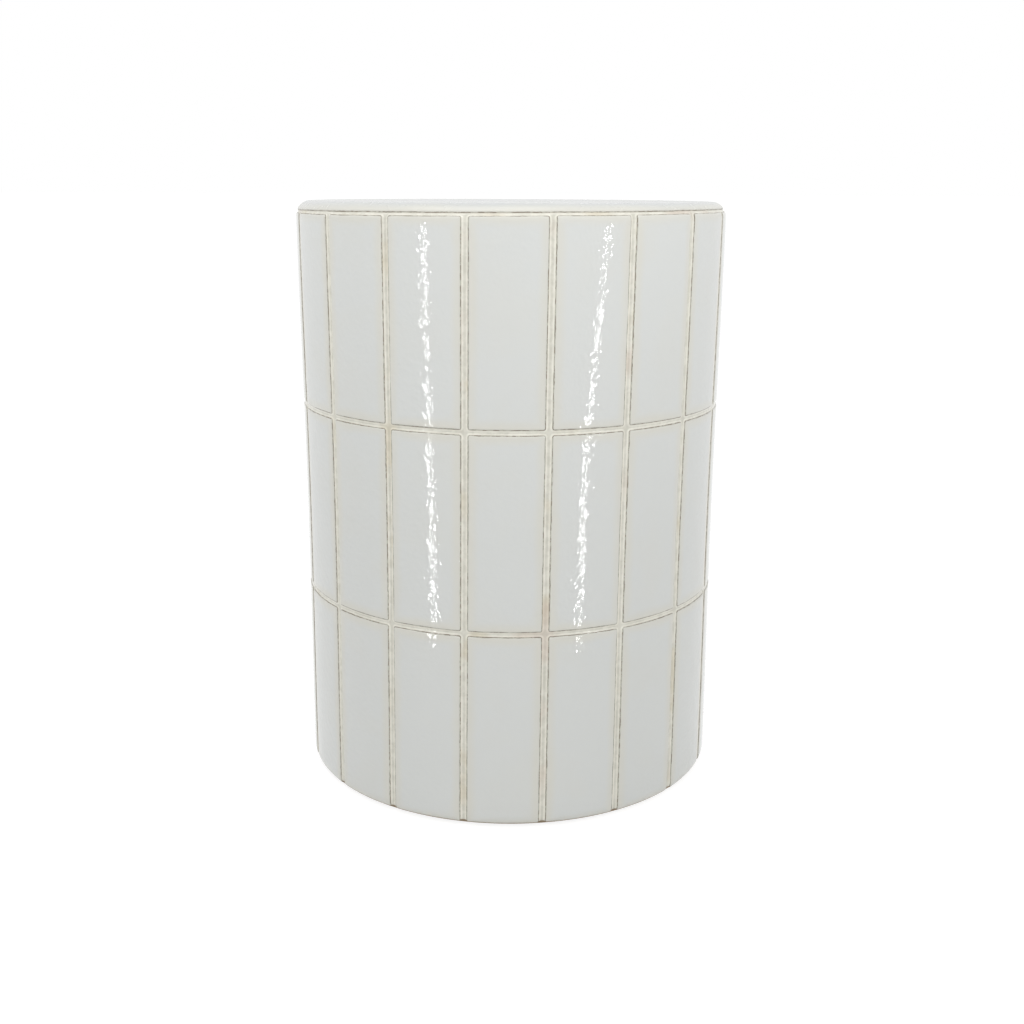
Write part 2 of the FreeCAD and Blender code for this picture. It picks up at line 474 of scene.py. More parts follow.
@dataclass
class TurnedPiece:
    """A closed solid turned about the drum's axis, ring by ring, whose rings needn't be round.

    Each ring says which finish the band that follows it has. A hollow piece joins its last ring
    to its first, and a full one closes both ends with a fan of faces.
    """

    name: str
    angle: np.ndarray
    hollow: bool
    rings: list[Ring] = field(default_factory=list)

    def add(
        self,
        radius: np.ndarray | float,
        height: np.ndarray | float,
        rim: np.ndarray | float,
        bare: np.ndarray | float,
        crease: bool = False,
        finish: int = GLAZE_FINISH,
    ) -> None:
        """Adds a ring.

        Args:
            radius: Distances from the axis.
            height: Heights over the floor.
            rim: Distances outside a panel's edge, in metres.
            bare: Distances past the end of the glaze, in metres.
            crease: Whether the shading breaks at this ring.
            finish: Number of the finish that the band after it has.
        """
        values = (np.broadcast_to(value, self.angle.shape) for value in (radius, height, rim, bare))
        self.rings.append(Ring(*values, crease=crease, finish=finish))

    def build(self, finishes: list[bpy.types.Material]) -> bpy.types.Object:
        """Builds the mesh and dresses it.

        Args:
            finishes: Materials in the order of the rings' finish numbers.

        Returns:
            The new object.
        """
        across = len(self.angle)
        rings = [around(ring.radius, ring.height, self.angle) for ring in self.rings]
        points = np.concatenate(rings)
        rows = np.arange(len(points)).reshape(len(self.rings), across)
        pairs = list(zip(rows, rows[1:]))
        if self.hollow:
            pairs.append((rows[-1], rows[0]))
        faces = [face for pair in pairs for face in quad_strip(*pair, True)]
        looks = [ring.finish for ring, _ in zip(self.rings, pairs) for _ in range(across)]
        rim = np.concatenate([ring.rim for ring in self.rings])
        bare = np.concatenate([ring.bare for ring in self.rings])
        if not self.hollow:
            ends = [(rows[0][::-1], self.rings[0]), (rows[-1], self.rings[-1])]
            for row, ring in ends:
                middle = len(points)
                points = np.vstack([points, [[0.0, 0.0, float(ring.height.mean())]]])
                rim, bare = np.append(rim, ring.rim[0]), np.append(bare, ring.bare[0])
                round_row = np.append(row, row[0]).tolist()
                faces += [(a, b, middle) for a, b in zip(round_row, round_row[1:])]
                looks += [ring.finish] * across
        piece = show(self.name, points, faces, rim / MM, bare / MM)
        for finish in finishes:
            piece.data.materials.append(finish)
        piece.data.polygons.foreach_set("material_index", looks)
        self.crease(piece.data, across)
        return piece

    def crease(self, mesh: bpy.types.Mesh, across: int) -> None:
        """Marks the edges that run along the creased rings as sharp.

        Args:
            mesh: Mesh of the piece.
            across: Vertices in each ring.
        """
        ends = np.zeros(len(mesh.edges) * 2, dtype=np.int32)
        mesh.edges.foreach_get("vertices", ends)
        ring = ends.reshape(-1, 2) // across
        creased = [number for number, item in enumerate(self.rings) if item.crease]
        along = (ring[:, 0] == ring[:, 1]) & np.isin(ring[:, 0], creased)
        layer = mesh.attributes.get("sharp_edge")
        layer = layer or mesh.attributes.new("sharp_edge", "BOOLEAN", "EDGE")
        layer.data.foreach_set("value", along)


# Shader expressions

# Sockets of a Mix node that are for colours. Other data types have sockets of the same names.
COLOUR_A = 6
COLOUR_B = 7
COLOUR_RESULT = 2


class Wire:
    """The output of a shader node, which Python's operators join to others."""

    def __init__(self, shader: "Shader", socket: bpy.types.NodeSocket) -> None:
        """Keeps the shader and the socket."""
        self.shader = shader
        self.socket = socket

    def math(self, operation: str, *others: "Wire | float") -> "Wire":
        """Adds a Math node.

        Args:
            operation: The node's operation.
            *others: What follows this value in the operation.

        Returns:
            The result.
        """
        sockets = dict(enumerate((self, *others)))
        return self.shader.node("ShaderNodeMath", {"operation": operation}, sockets)

    def __add__(self, other: "Wire | float") -> "Wire":
        """Adds."""
        return self.math("ADD", other)

    __radd__ = __add__

    def __mul__(self, other: "Wire | float") -> "Wire":
        """Multiplies."""
        return self.math("MULTIPLY", other)

    __rmul__ = __mul__

    def __sub__(self, other: "Wire | float") -> "Wire":
        """Subtracts."""
        return self.math("SUBTRACT", other)

    def __rsub__(self, other: float) -> "Wire":
        """Subtracts this value from a number."""
        return self.shader.node("ShaderNodeMath", {"operation": "SUBTRACT"}, {0: other, 1: self})

    def abs(self) -> "Wire":
        """Drops the sign."""
        return self.math("ABSOLUTE")


def paint(red: int, green: int, blue: int) -> Colour:
    """Turns a colour as a screen shows it into the renderer's own numbers.

    Args:
        red: Red, from 0 to 255.
        green: Green, from 0 to 255.
        blue: Blue, from 0 to 255.

    Returns:
        The colour, with an alpha of 1.
    """
    shares = (channel / 255 for channel in (red, green, blue))
    linear = (((s + 0.055) / 1.055) ** 2.4 if s > 0.04045 else s / 12.92 for s in shares)
    return (*linear, 1.0)


@dataclass(frozen=True)
class Patches:
    """Soft patches in a finish: noise that rises smoothly from low to high.

    The rise begins where the noise, of about 0 to 1, is at start, and it ends where it is at full.
    """

    size: float
    start: float = 0.3
    full: float = 0.7
    low: float = 0.0
    high: float = 1.0
    detail: float = 2.0
    roughness: float = 0.5


class Shader:
    """The nodes of a material or the world, and the patterns that the finishes are made of."""

    def __init__(self, owner: bpy.types.Material | bpy.types.World) -> None:
        """Empties the nodes of a new material or world.

        Args:
            owner: The material or the world.
        """
        self.owner = owner
        owner.use_nodes = True
        self.tree = owner.node_tree
        self.tree.nodes.clear()

    @cached_property
    def place(self) -> Wire:
        """Where a point of the piece lies, in metres."""
        return self.node("ShaderNodeTexCoord", {}, {}, "Object")

    def node(self, kind: str, settings: dict, sockets: dict, out: int | str = 0) -> Wire | None:
        """Adds a node.

        Args:
            kind: The node's type.
            settings: Properties to set first.
            sockets: Inputs by name or number, each a Wire to link or a value.
            out: Name or number of the output that is wanted.

        Returns:
            That output, or nothing where the node has none.
        """
        made = self.tree.nodes.new(kind)
        for key, value in settings.items():
            setattr(made, key, value)
        for key, value in sockets.items():
            if isinstance(value, Wire):
                self.tree.links.new(value.socket, made.inputs[key])
            else:
                made.inputs[key].default_value = value
        return Wire(self, made.outputs[out]) if made.outputs else None

    def layer(self, name: str) -> Wire:
        """Reads a value that the mesh carries at its vertices."""
        return self.node("ShaderNodeAttribute", {"attribute_name": name}, {}, "Fac")

    def cloud(self, size: float, detail: float = 2.0, roughness: float = 0.5) -> Wire:
        """Gives soft noise from about 0 to 1.

        Args:
            size: Size of its patches, in metres.
            detail: How many finer layers it has.
            roughness: How strong those are.

        Returns:
            The noise.
        """
        sockets = {"Vector": self.place, "Scale": 1 / size, "Detail": detail, "Roughness": roughness}
        return self.node("ShaderNodeTexNoise", {}, sockets, 0)

    def rise(self, value: Wire, low: float, high: float, start: float = 0.0, end: float = 1.0) -> Wire:
        """Maps a value smoothly from one range to another.

        Args:
            value: The value.
            low: Where the rise starts.
            high: Where it ends.
            start: Result at low.
            end: Result at high.

        Returns:
            The mapped value.
        """
        sockets = {"Value": value, "From Min": low, "From Max": high, "To Min": start, "To Max": end}
        return self.node("ShaderNodeMapRange", {"interpolation_type": "SMOOTHSTEP"}, sockets)

    def patches(self, kind: Patches) -> Wire:
        """Gives how strong soft patches are."""
        value = self.cloud(kind.size, kind.detail, kind.roughness)
        return self.rise(value, kind.start, kind.full, kind.low, kind.high)

    def tint(self, share: Wire, under: Wire | Colour, over: Wire | Colour) -> Wire:
        """Lays one colour over another.

        Args:
            share: How much of the upper colour shows.
            under: The lower colour.
            over: The upper colour.

        Returns:
            The mixed colour.
        """
        settings = {"data_type": "RGBA"}
        sockets = {"Factor": share, COLOUR_A: under, COLOUR_B: over}
        return self.node("ShaderNodeMix", settings, sockets, COLOUR_RESULT)

    def bump(self, height: Wire, distance: float) -> Wire:
        """Turns a height into a normal, where a height of 1 stands for the distance."""
        return self.node("ShaderNodeBump", {}, {"Height": height, "Distance": distance})

    def seen(self) -> Wire:
        """Tells the rays that show a background from those that only light the object.

        Returns:
            1 for a ray from the camera, a reflection or a transmission, and else 0.
        """
        rays = ("Is Camera Ray", "Is Glossy Ray", "Is Transmission Ray")
        camera, glossy, through = (self.node("ShaderNodeLightPath", {}, {}, ray) for ray in rays)
        return (camera + glossy + through).math("MINIMUM", 1.0)

    def finish(self, surface: dict) -> bpy.types.Material:
        """Ends the material with its surface shader.

        Args:
            surface: Inputs of the surface shader.

        Returns:
            The material.
        """
        shader = self.node("ShaderNodeBsdfPrincipled", {}, surface)
        self.node("ShaderNodeOutputMaterial", {}, {"Surface": shader})
        return self.owner


# Finishes


@dataclass(frozen=True)
class Glaze:
    """White glaze, cream in the grooves, with a broken brown line along the panels' edges. The grooves'
    cream is painted lighter beside the panels as a painted highlight, and greyer in the middle as
    painted shade.

    Each edge gives the distances outside a panel's edge, in millimetres, between which a look sets
    in. glaze_end is counted in the same way from the end of the glaze.
    """

    name: str
    plain: Colour = paint(213, 215, 213)
    warm: Colour = paint(214, 213, 205)
    # The grooves' cream glaze, painted lighter as a painted highlight beside the panels, and the grey
    # of the painted shade in the grooves' middles.
    cream: Colour = paint(233, 231, 220)
    painted_groove_shade: Colour = paint(188, 186, 173)
    ochre: Colour = paint(206, 192, 160)
    blush: Colour = paint(210, 191, 176)
    # Dark brown of the broken line along the panels' edges.
    edge_line_colour: Colour = paint(110, 100, 82)
    clay: Colour = paint(144, 128, 106)
    warm_edge: tuple[float, float] = (-9.0, -0.4)
    groove_edge: tuple[float, float] = (-0.25, 0.15)
    rough_edge: tuple[float, float] = (-0.4, 0.3)
    # Where and how strongly the painted shade greys the middle of a groove.
    groove_shade_edge: tuple[float, float] = (1.3, 2.2)
    groove_shade_range: tuple[float, float] = (0.1, 0.5)
    line_middle: float = 0.15
    line_edge: tuple[float, float] = (0.12, 0.52)
    glaze_end: tuple[float, float] = (0.2, 0.7)
    fray_size: float = 3.0 * MM
    fray: float = 0.8
    tones: Patches = Patches(45 * MM, 0.25, 0.75, -0.2, 0.2)
    # Random patches in the grooves' painted shade.
    groove_shade_patches: Patches = Patches(6 * MM, 0.35, 0.65, -0.15, 0.15, roughness=0.6)
    stains: Patches = Patches(38 * MM, 0.56, 0.7, 0.0, 0.35)
    blushes: Patches = Patches(52 * MM, 0.6, 0.72, 0.0, 0.4, detail=1.0)
    line_wander: Patches = Patches(3 * MM, 0.2, 0.8, -0.1, 0.1)
    line_breaks: Patches = Patches(5 * MM, 0.36, 0.6, 0.5, 0.92, detail=3.0, roughness=0.7)
    gloss: float = 0.03
    gloss_patches: Patches = Patches(14 * MM, high=0.03, detail=3.0)
    groove_roughness: float = 0.12
    clay_roughness: float = 0.6
    refraction: float = 1.45
    unevenness: float = 0.08 * MM
    swell_size: float = 6.0 * MM
    peel_size: float = 4.0 * MM
    peel_share: float = 2.2
    crumb_size: float = 1.4 * MM
    crumb_share: float = 1.4

    def material(self) -> bpy.types.Material:
        """Makes the material.

        Returns:
            The new material.
        """
        shader = Shader(bpy.data.materials.new(self.name))
        rim, bare = shader.layer(RIM), shader.layer(BARE)
        face, groove = self.face_colour(shader, rim), self.groove_colour(shader, rim)
        colour = shader.tint(shader.rise(rim, *self.groove_edge), face, groove)
        colour = shader.tint(self.edge_line(shader, rim), colour, self.edge_line_colour)
        frayed = bare + shader.cloud(self.fray_size, detail=3.0) * self.fray
        worn = shader.rise(frayed, *self.glaze_end)
        in_groove = shader.rise(rim, *self.rough_edge)
        gloss = shader.patches(self.gloss_patches) + self.gloss
        return shader.finish({
            "Base Color": shader.tint(worn, colour, self.clay),
            "Roughness": gloss + in_groove * self.groove_roughness + worn * self.clay_roughness,
            "Normal": self.skin(shader, in_groove),
            "IOR": self.refraction,
        })

    def face_colour(self, shader: Shader, rim: Wire) -> Wire:
        """Gives the faces' colour, which grows slightly warmer towards the edges."""
        near = shader.rise(rim, *self.warm_edge) + shader.patches(self.tones)
        return shader.tint(near, self.plain, self.warm)

    def groove_colour(self, shader: Shader, rim: Wire) -> Wire:
        """Colours the grooves: cream with a painted highlight beside the panels, greyer in the middle
        as painted shade, faintly stained.

        Args:
            shader: Shader of the glaze.
            rim: Distance outside a panel's edge.

        Returns:
            The grooves' colour.
        """
        # Painted shade: the grooves grow greyer towards the middle, and the cream beside the panels is
        # a painted highlight.
        shaded_middle = shader.rise(rim, *self.groove_shade_edge, *self.groove_shade_range)
        colour = shader.tint(shaded_middle + shader.patches(self.groove_shade_patches), self.cream, self.painted_groove_shade)
        colour = shader.tint(shader.patches(self.stains), colour, self.ochre)
        return shader.tint(shader.patches(self.blushes), colour, self.blush)

    def edge_line(self, shader: Shader, rim: Wire) -> Wire:
        """Gives how strong the broken dark line along an edge is."""
        off = (rim - self.line_middle + shader.patches(self.line_wander)).abs()
        return (1 - shader.rise(off, *self.line_edge)) * shader.patches(self.line_breaks)

    def skin(self, shader: Shader, in_groove: Wire) -> Wire:
        """Makes the surface finely uneven, like the skin of an orange, and crumbly in the grooves.

        Args:
            shader: Shader of the glaze.
            in_groove: 1 in a groove and 0 on a face.

        Returns:
            The normal.
        """
        swell = shader.cloud(self.swell_size, detail=0.0)
        peel = shader.cloud(self.peel_size, detail=1.0) * self.peel_share
        crumbs = shader.cloud(self.crumb_size, roughness=0.6) * self.crumb_share * in_groove
        return shader.bump(swell + peel + crumbs, self.unevenness)


@dataclass(frozen=True)
class Clay:
    """Bare fired stoneware, sandy to the touch."""

    name: str = "bare_stoneware"
    light: Colour = paint(205, 190, 164)
    dark: Colour = paint(178, 158, 128)
    grit: Colour = paint(120, 98, 72)
    patches: Patches = Patches(24 * MM, detail=3.0, roughness=0.6)
    grain_size: float = 0.9 * MM
    grain_height: float = 0.25 * MM
    grit_range: tuple[float, ...] = (0.62, 0.74, 0.0, 0.6)
    roughness_range: tuple[float, ...] = (0.3, 0.7, 0.75, 0.95)
    refraction: float = 1.45

    def material(self) -> bpy.types.Material:
        """Makes the material.

        Returns:
            The new material.
        """
        shader = Shader(bpy.data.materials.new(self.name))
        grains = shader.cloud(self.grain_size, roughness=0.6)
        colour = shader.tint(shader.patches(self.patches), self.light, self.dark)
        colour = shader.tint(shader.rise(grains, *self.grit_range), colour, self.grit)
        return shader.finish({
            "Base Color": colour,
            "Roughness": shader.rise(grains, *self.roughness_range),
            "Normal": shader.bump(grains, self.grain_height),
            "IOR": self.refraction,
        })


@dataclass(frozen=True)
class Rubber:
    """Soft grey rubber of the stick-on pads."""

    name: str = "pad_rubber"
    plain: Colour = paint(150, 149, 146)
    dusty: Colour = paint(172, 170, 164)
    dust: Patches = Patches(5 * MM, 0.35, 0.7, detail=3.0, roughness=0.6)
    roughness: float = 0.6
    dust_roughness: float = 0.2
    grain_size: float = 0.5 * MM
    grain_height: float = 0.05 * MM
    refraction: float = 1.5

    def material(self) -> bpy.types.Material:
        """Makes the material.

        Returns:
            The new material.
        """
        shader = Shader(bpy.data.materials.new(self.name))
        dust = shader.patches(self.dust)
        return shader.finish({
            "Base Color": shader.tint(dust, self.plain, self.dusty),
            "Roughness": dust * self.dust_roughness + self.roughness,
            "Normal": shader.bump(shader.cloud(self.grain_size, detail=1.0), self.grain_height),
            "IOR": self.refraction,
        })


# Pieces


@dataclass
class RaisedPanels:
    """The three rows of raised, curved panels.

    The edges wander by hand and the faces are slightly uneven. Each such ripple has a length, and an
    offset that makes it differ from the others.
    """

    relief: Relief
    thickness: float = 1.5 * MM
    crown_lines: tuple[float, ...] = (1.4 * MM, 2.2 * MM, 3.6 * MM, 6.0 * MM)
    step_across: float = 6.0 * MM
    step_along: float = 2.2 * MM
    wobble: float = 0.34 * MM
    wobble_length: float = 11.0 * MM
    across_offset: float = 0.0
    along_offset: float = 50.0
    fine_wobble: float = 0.16 * MM
    fine_wobble_length: float = 4.5 * MM
    fine_offset: float = 7.0
    uneven: float = 0.07 * MM
    uneven_length: float = 38.0 * MM
    uneven_offset: float = 20.0
    slot: str = "panel_glaze"

    def round_corners(self, across: np.ndarray, along: np.ndarray, half: tuple[float, float]) -> None:
        """Draws the square corners of a grid in to a quarter circle, in place.

        Args:
            across: Distances from the panel's middle line.
            along: Distances from its middle height.
            half: Half its width and half its height.
        """
        corner = self.relief.corner
        out_across = np.maximum(np.abs(across) - half[0] + corner, 0.0)
        out_along = np.maximum(np.abs(along) - half[1] + corner, 0.0)
        pull = 2 * corner * corner
        new_across = out_across * np.sqrt(1 - out_along**2 / pull)
        new_along = out_along * np.sqrt(1 - out_across**2 / pull)
        across += np.sign(across) * (new_across - out_across)
        along += np.sign(along) * (new_along - out_along)

    def build(self, row: Row, column: int, glaze: bpy.types.Material) -> None:
        """Builds one panel.

        Args:
            row: Its row.
            column: Its column, counted from 0 at the front towards +X.
            glaze: Its material.
        """
        relief, form = self.relief, self.relief.form
        low, high = relief.row_ends(row)
        half = (relief.half_width, (high - low) / 2)
        near_edge = [*relief.arris_lines(), *self.crown_lines]
        lines = graded(half[0], near_edge, self.step_across)
        levels = graded(half[1], near_edge, self.step_along)
        along, across = (grid.copy() for grid in np.meshgrid(levels, lines, indexing="ij"))
        self.round_corners(across, along, half)
        way = along + (low + high) / 2
        beyond = relief.beyond_edge(across, way, row)
        turn = 2 * math.pi * column / relief.columns
        places = form.place(way, turn + across / form.radius, np.zeros_like(way))
        across += self.wander(places, self.across_offset)
        way = way + self.wander(places, self.along_offset)
        angle = turn + across / form.radius
        uneven = self.uneven * (1 + ripple(places, self.uneven_length, self.uneven_offset)) / 2
        face = form.place(way, angle, relief.face_depth(beyond) + uneven)
        back = form.place(way, angle, np.full_like(way, self.thickness))
        points = np.concatenate([face.reshape(-1, 3), back.reshape(-1, 3)])
        rim = np.concatenate([beyond.ravel(), np.maximum(beyond, 0.0).ravel()]) / MM
        bare = np.tile((relief.glaze_end - way).ravel(), 2) / MM
        node = f"{row.value}_panel_{column + 1:02d}"
        piece = show(f"glazed_{node}", points, self.shell(way.shape), rim, bare)
        piece.data.materials.append(glaze)
        settle(piece, self.slot, node)

    def wander(self, places: np.ndarray, offset: float) -> np.ndarray:
        """Works out how far the hand-finished edges wander.

        Args:
            places: Places of the vertices before they wander.
            offset: Offset of the ripples.

        Returns:
            Distances, in metres.
        """
        broad = ripple(places, self.wobble_length, offset)
        fine = ripple(places, self.fine_wobble_length, offset + self.fine_offset)
        return self.wobble * broad + self.fine_wobble * fine

    def shell(self, shape: tuple[int, int]) -> list[tuple[int, ...]]:
        """Joins a grid of face vertices and the same grid behind it into a closed shell.

        Args:
            shape: Rows of the grid, and vertices in each.

        Returns:
            Vertex numbers of each face.
        """
        front = np.arange(shape[0] * shape[1]).reshape(shape)
        back = front + front.size
        faces = self.sheet(front) + self.sheet(back[:, ::-1])
        return faces + quad_strip(self.outline(back), self.outline(front), True)

    def sheet(self, rows: np.ndarray) -> list[tuple[int, ...]]:
        """Fills a grid of vertex numbers with faces."""
        return [face for pair in zip(rows, rows[1:]) for face in quad_strip(*pair, False)]

    def outline(self, rows: np.ndarray) -> np.ndarray:
        """Gives the vertex numbers round the outside of a grid, in order."""
        sides = (rows[0, :-1], rows[:-1, -1], rows[-1, :0:-1], rows[:0:-1, 0])
        return np.concatenate(sides)


@dataclass
class Ground:
    """The glazed ground between the panels, as the rings that the wall, seat and foot share."""

    relief: Relief
    groove_lines: tuple[float, ...] = tuple(
        MM * line for line in (0.6, 1.2, 1.7, 2.1, 2.5, 2.9, 3.4, 4.4)
    )
    step: float = 2.6 * MM

    def angles(self) -> np.ndarray:
        """Spaces the vertices of a ring, close together at the upright grooves.

        Returns:
            Their angles round the axis, in radians.
        """
        fine = np.array(self.groove_lines)
        half = self.relief.pitch / 2
        beside = np.concatenate([fine, spread((fine[-1], half), self.step), [half]])
        one_groove = np.concatenate([-beside[::-1], [0.0], beside[:-1]]) / self.relief.form.radius
        grooves = (np.arange(self.relief.columns) + 0.5) * 2 * math.pi / self.relief.columns
        return (grooves[:, None] + one_groove[None, :]).ravel()

    def groove_ways(self, middle: float) -> list[float]:
        """Gives the ways run at which rings lie close together, across a level groove."""
        offsets = [-line for line in reversed(self.groove_lines[:-1])] + [0.0, *self.groove_lines[:-1]]
        return [middle + offset for offset in offsets]

    def add_ring(self, piece: TurnedPiece, way: float, crease: bool = False) -> None:
        """Adds a ring of the ground to a piece.

        Args:
            piece: The piece.
            way: Way run along the form.
            crease: Whether the shading breaks at this ring.
        """
        relief = self.relief
        ways = np.full_like(piece.angle, way)
        beyond = relief.beyond_all(piece.angle, ways)
        radius, height = relief.form.section(ways, piece.angle, relief.floor_depth(beyond))
        piece.add(radius, height, beyond, relief.glaze_end - way, crease)


@dataclass
class DrumBody:
    """The drum's wall, glazed outside in the grooves and bare inside.

    At both ends a sloping coil of clay, which joins it to the seat and the foot, draws it in.
    """

    ground: Ground
    inner_radius: float = 157.5 * MM
    end_radius: float = 149.5 * MM
    coil: float = 8.0 * MM
    ring_step: float = 13.0 * MM
    inside_step: float = 30.0 * MM
    slot: str = "groove_glaze"

    def build(self, glaze: bpy.types.Material, clay: bpy.types.Material) -> None:
        """Builds the wall.

        Args:
            glaze: Material of the outside.
            clay: Material of the inside.
        """
        form, relief = self.ground.relief.form, self.ground.relief
        low, high = reach("drum_wall", 0, 2), reach("drum_wall", 1, 2)
        piece = TurnedPiece("drum_body", self.ground.angles(), hollow=True)
        middles = [relief.row_ends(row)[1] + relief.half_row_groove for row in (Row.LOWER, Row.MIDDLE)]
        ways = [form.way_at(low)]
        for middle in middles:
            groove = self.ground.groove_ways(middle)
            ways += spread((ways[-1], groove[0]), self.ring_step) + groove
        end = form.way_at(high)
        ways += spread((ways[-1], end), self.ring_step) + [end]
        for way in ways:
            self.ground.add_ring(piece, way, crease=way in (ways[0], ways[-1]))
        piece.rings[-1].finish = CLAY_FINISH
        upper, lower = high - self.coil, low + self.coil
        inner_heights = [upper, *spread((upper, lower), self.inside_step), lower]
        inside = [(self.inner_radius, height) for height in inner_heights]
        for radius, height in [(self.end_radius, high), *inside, (self.end_radius, low)]:
            piece.add(radius, height, NO_EDGE, UNGLAZED, height in (low, high), finish=CLAY_FINISH)
        settle(piece.build([glaze, clay]), self.slot, "drum_wall")


@dataclass
class Seat:
    """The seat: a flat top with a round shoulder that ends in a lip over the top groove.

    The rings of the groove are counted from its middle, and those of the lip from the lip's edge. By
    hand, the edge wobbles: fully within wobble_full of it, and no more at wobble_end.
    """

    ground: Ground
    wobble: float = 0.22 * MM
    wobble_length: float = 16.0 * MM
    wobble_offset: float = 90.0
    wobble_full: float = 1.0 * MM
    wobble_end: float = 5.0 * MM
    underside_rings: tuple[float, ...] = (60.0 * MM, 155.0 * MM)
    first_ring: float = 1.2 * MM
    groove_rings: tuple[float, ...] = tuple(
        MM * offset for offset in (-2.9, -2.3, -1.9, -1.6, -1.3, -0.9, -0.45, 0.0, 0.45, 0.9, 1.25)
    )
    lip_rings: tuple[float, ...] = (1.4 * MM, 2.2 * MM, 3.6 * MM)
    shoulder_start: float = 4.8 * MM
    shoulder_rings: int = 8
    flat_rings: tuple[float, ...] = tuple(MM * radius for radius in (150, 140, 115, 80, 40, 12))
    slot: str = "seat_glaze"

    def build(self, glaze: bpy.types.Material, clay: bpy.types.Material) -> None:
        """Builds the seat.

        Args:
            glaze: Material of the top and the edge.
            clay: Material of the underside.
        """
        relief, form = self.ground.relief, self.ground.relief.form
        piece = TurnedPiece("seat_top", self.ground.angles(), hollow=False)
        low = reach("seat_slab", 0, 2)
        for radius in self.underside_rings:
            piece.add(radius, low, NO_EDGE, UNGLAZED, finish=CLAY_FINISH)
        start = form.way_at(low)
        self.ground.add_ring(piece, start, crease=True)
        middle = relief.lip - relief.rim_groove / 2
        ways = [start + self.first_ring, *(middle + offset for offset in self.groove_rings)]
        ways += [relief.lip + offset for offset in (*relief.arris_lines(), *self.lip_rings)]
        ways += list(np.linspace(relief.lip + self.shoulder_start, form.way_up, self.shoulder_rings))
        for way in ways:
            self.add_lip_ring(piece, way)
        for radius in self.flat_rings:
            piece.add(radius, form.top - form.skin, NO_EDGE, GLAZED)
        settle(piece.build([glaze, clay]), self.slot, "seat_slab")

    def add_lip_ring(self, piece: TurnedPiece, way: float) -> None:
        """Adds a ring of the seat's edge, with the lip standing over the groove.

        Args:
            piece: The seat.
            way: Way run along the form.
        """
        relief, form = self.ground.relief, self.ground.relief.form
        ways = np.full_like(piece.angle, way)
        under_lip = relief.lip - ways
        panels = relief.beyond_all(piece.angle, ways)
        beyond = np.minimum(under_lip, panels)
        floor = relief.floor_depth(np.maximum(beyond, 0.0))
        face = np.minimum(relief.face_depth(np.minimum(under_lip, 0.0)), relief.edge_level)
        depth = np.where(under_lip > 0, floor, face)
        places = form.place(ways, piece.angle, depth)
        near = smooth_step(self.wobble_end, self.wobble_full, np.abs(under_lip))
        moved = ways + near * self.wobble * ripple(places, self.wobble_length, self.wobble_offset)
        radius, height = form.section(moved, piece.angle, depth)
        piece.add(radius, height, beyond, GLAZED)


@dataclass
class Foot:
    """The foot ring, turned in under the wall, with a glazed groove ground and a bare underside.

    The grooves start to close at toe_rise above the toe and are shut at toe_fall below it. From
    roll_start below the toe the form rolls on to the underside.
    """

    ground: Ground
    hole_radius: float = 132.0 * MM
    bevel: float = 2.5 * MM
    toe_rise: float = 2.2 * MM
    toe_fall: float = 0.6 * MM
    toe_depth: float = 0.15 * MM
    toe_end: float = 0.9 * MM
    roll_start: float = 1.5 * MM
    side_rings: int = 6
    toe_rings: int = 11
    roll_rings: int = 6
    slot: str = "bare_clay"

    def build(self, clay: bpy.types.Material, glaze: bpy.types.Material) -> None:
        """Builds the foot.

        Args:
            clay: Material of the bare part.
            glaze: Material of the grooves and the toe.
        """
        form, toe = self.ground.relief.form, self.ground.relief.toe
        piece = TurnedPiece("foot_rim", self.ground.angles(), hollow=True)
        high = reach("foot_ring", 1, 2)
        start, end = form.way_at(high), form.way_below(90)
        self.ground.add_ring(piece, start, crease=True)
        side = np.linspace(start, toe + self.toe_rise, self.side_rings + 2)[1:-1]
        around_toe = np.linspace(toe + self.toe_rise, toe - self.toe_end, self.toe_rings)
        roll = np.linspace(toe - self.roll_start, end, self.roll_rings)
        for way in [*side, *around_toe, *roll]:
            self.add_toe_ring(piece, way)
        low, middle = form.bottom, (form.bottom + high) / 2
        inner = self.hole_radius
        underside = [
            (inner + self.bevel, low),
            (inner, low + self.bevel),
            (inner, middle),
            (inner, high - self.bevel),
            (inner + self.bevel, high),
        ]
        for radius, height in underside:
            piece.add(radius, height, NO_EDGE, UNGLAZED, crease=True, finish=CLAY_FINISH)
        piece.rings[-len(underside) - 1].finish = CLAY_FINISH
        settle(piece.build([glaze, clay]), self.slot, "foot_ring")

    def add_toe_ring(self, piece: TurnedPiece, way: float) -> None:
        """Adds a ring where the grooves end against the toe.

        Args:
            piece: The foot.
            way: Way run along the form.
        """
        relief, form = self.ground.relief, self.ground.relief.form
        ways = np.full_like(piece.angle, way)
        beyond = relief.beyond_all(piece.angle, ways)
        closing = smooth_step(self.toe_rise, -self.toe_fall, ways - relief.toe)
        level = (1 - closing) * relief.floor_depth(beyond) + closing * self.toe_depth
        radius, height = form.section(ways, piece.angle, level)
        piece.add(radius, np.maximum(height, form.bottom), beyond, relief.glaze_end - ways)


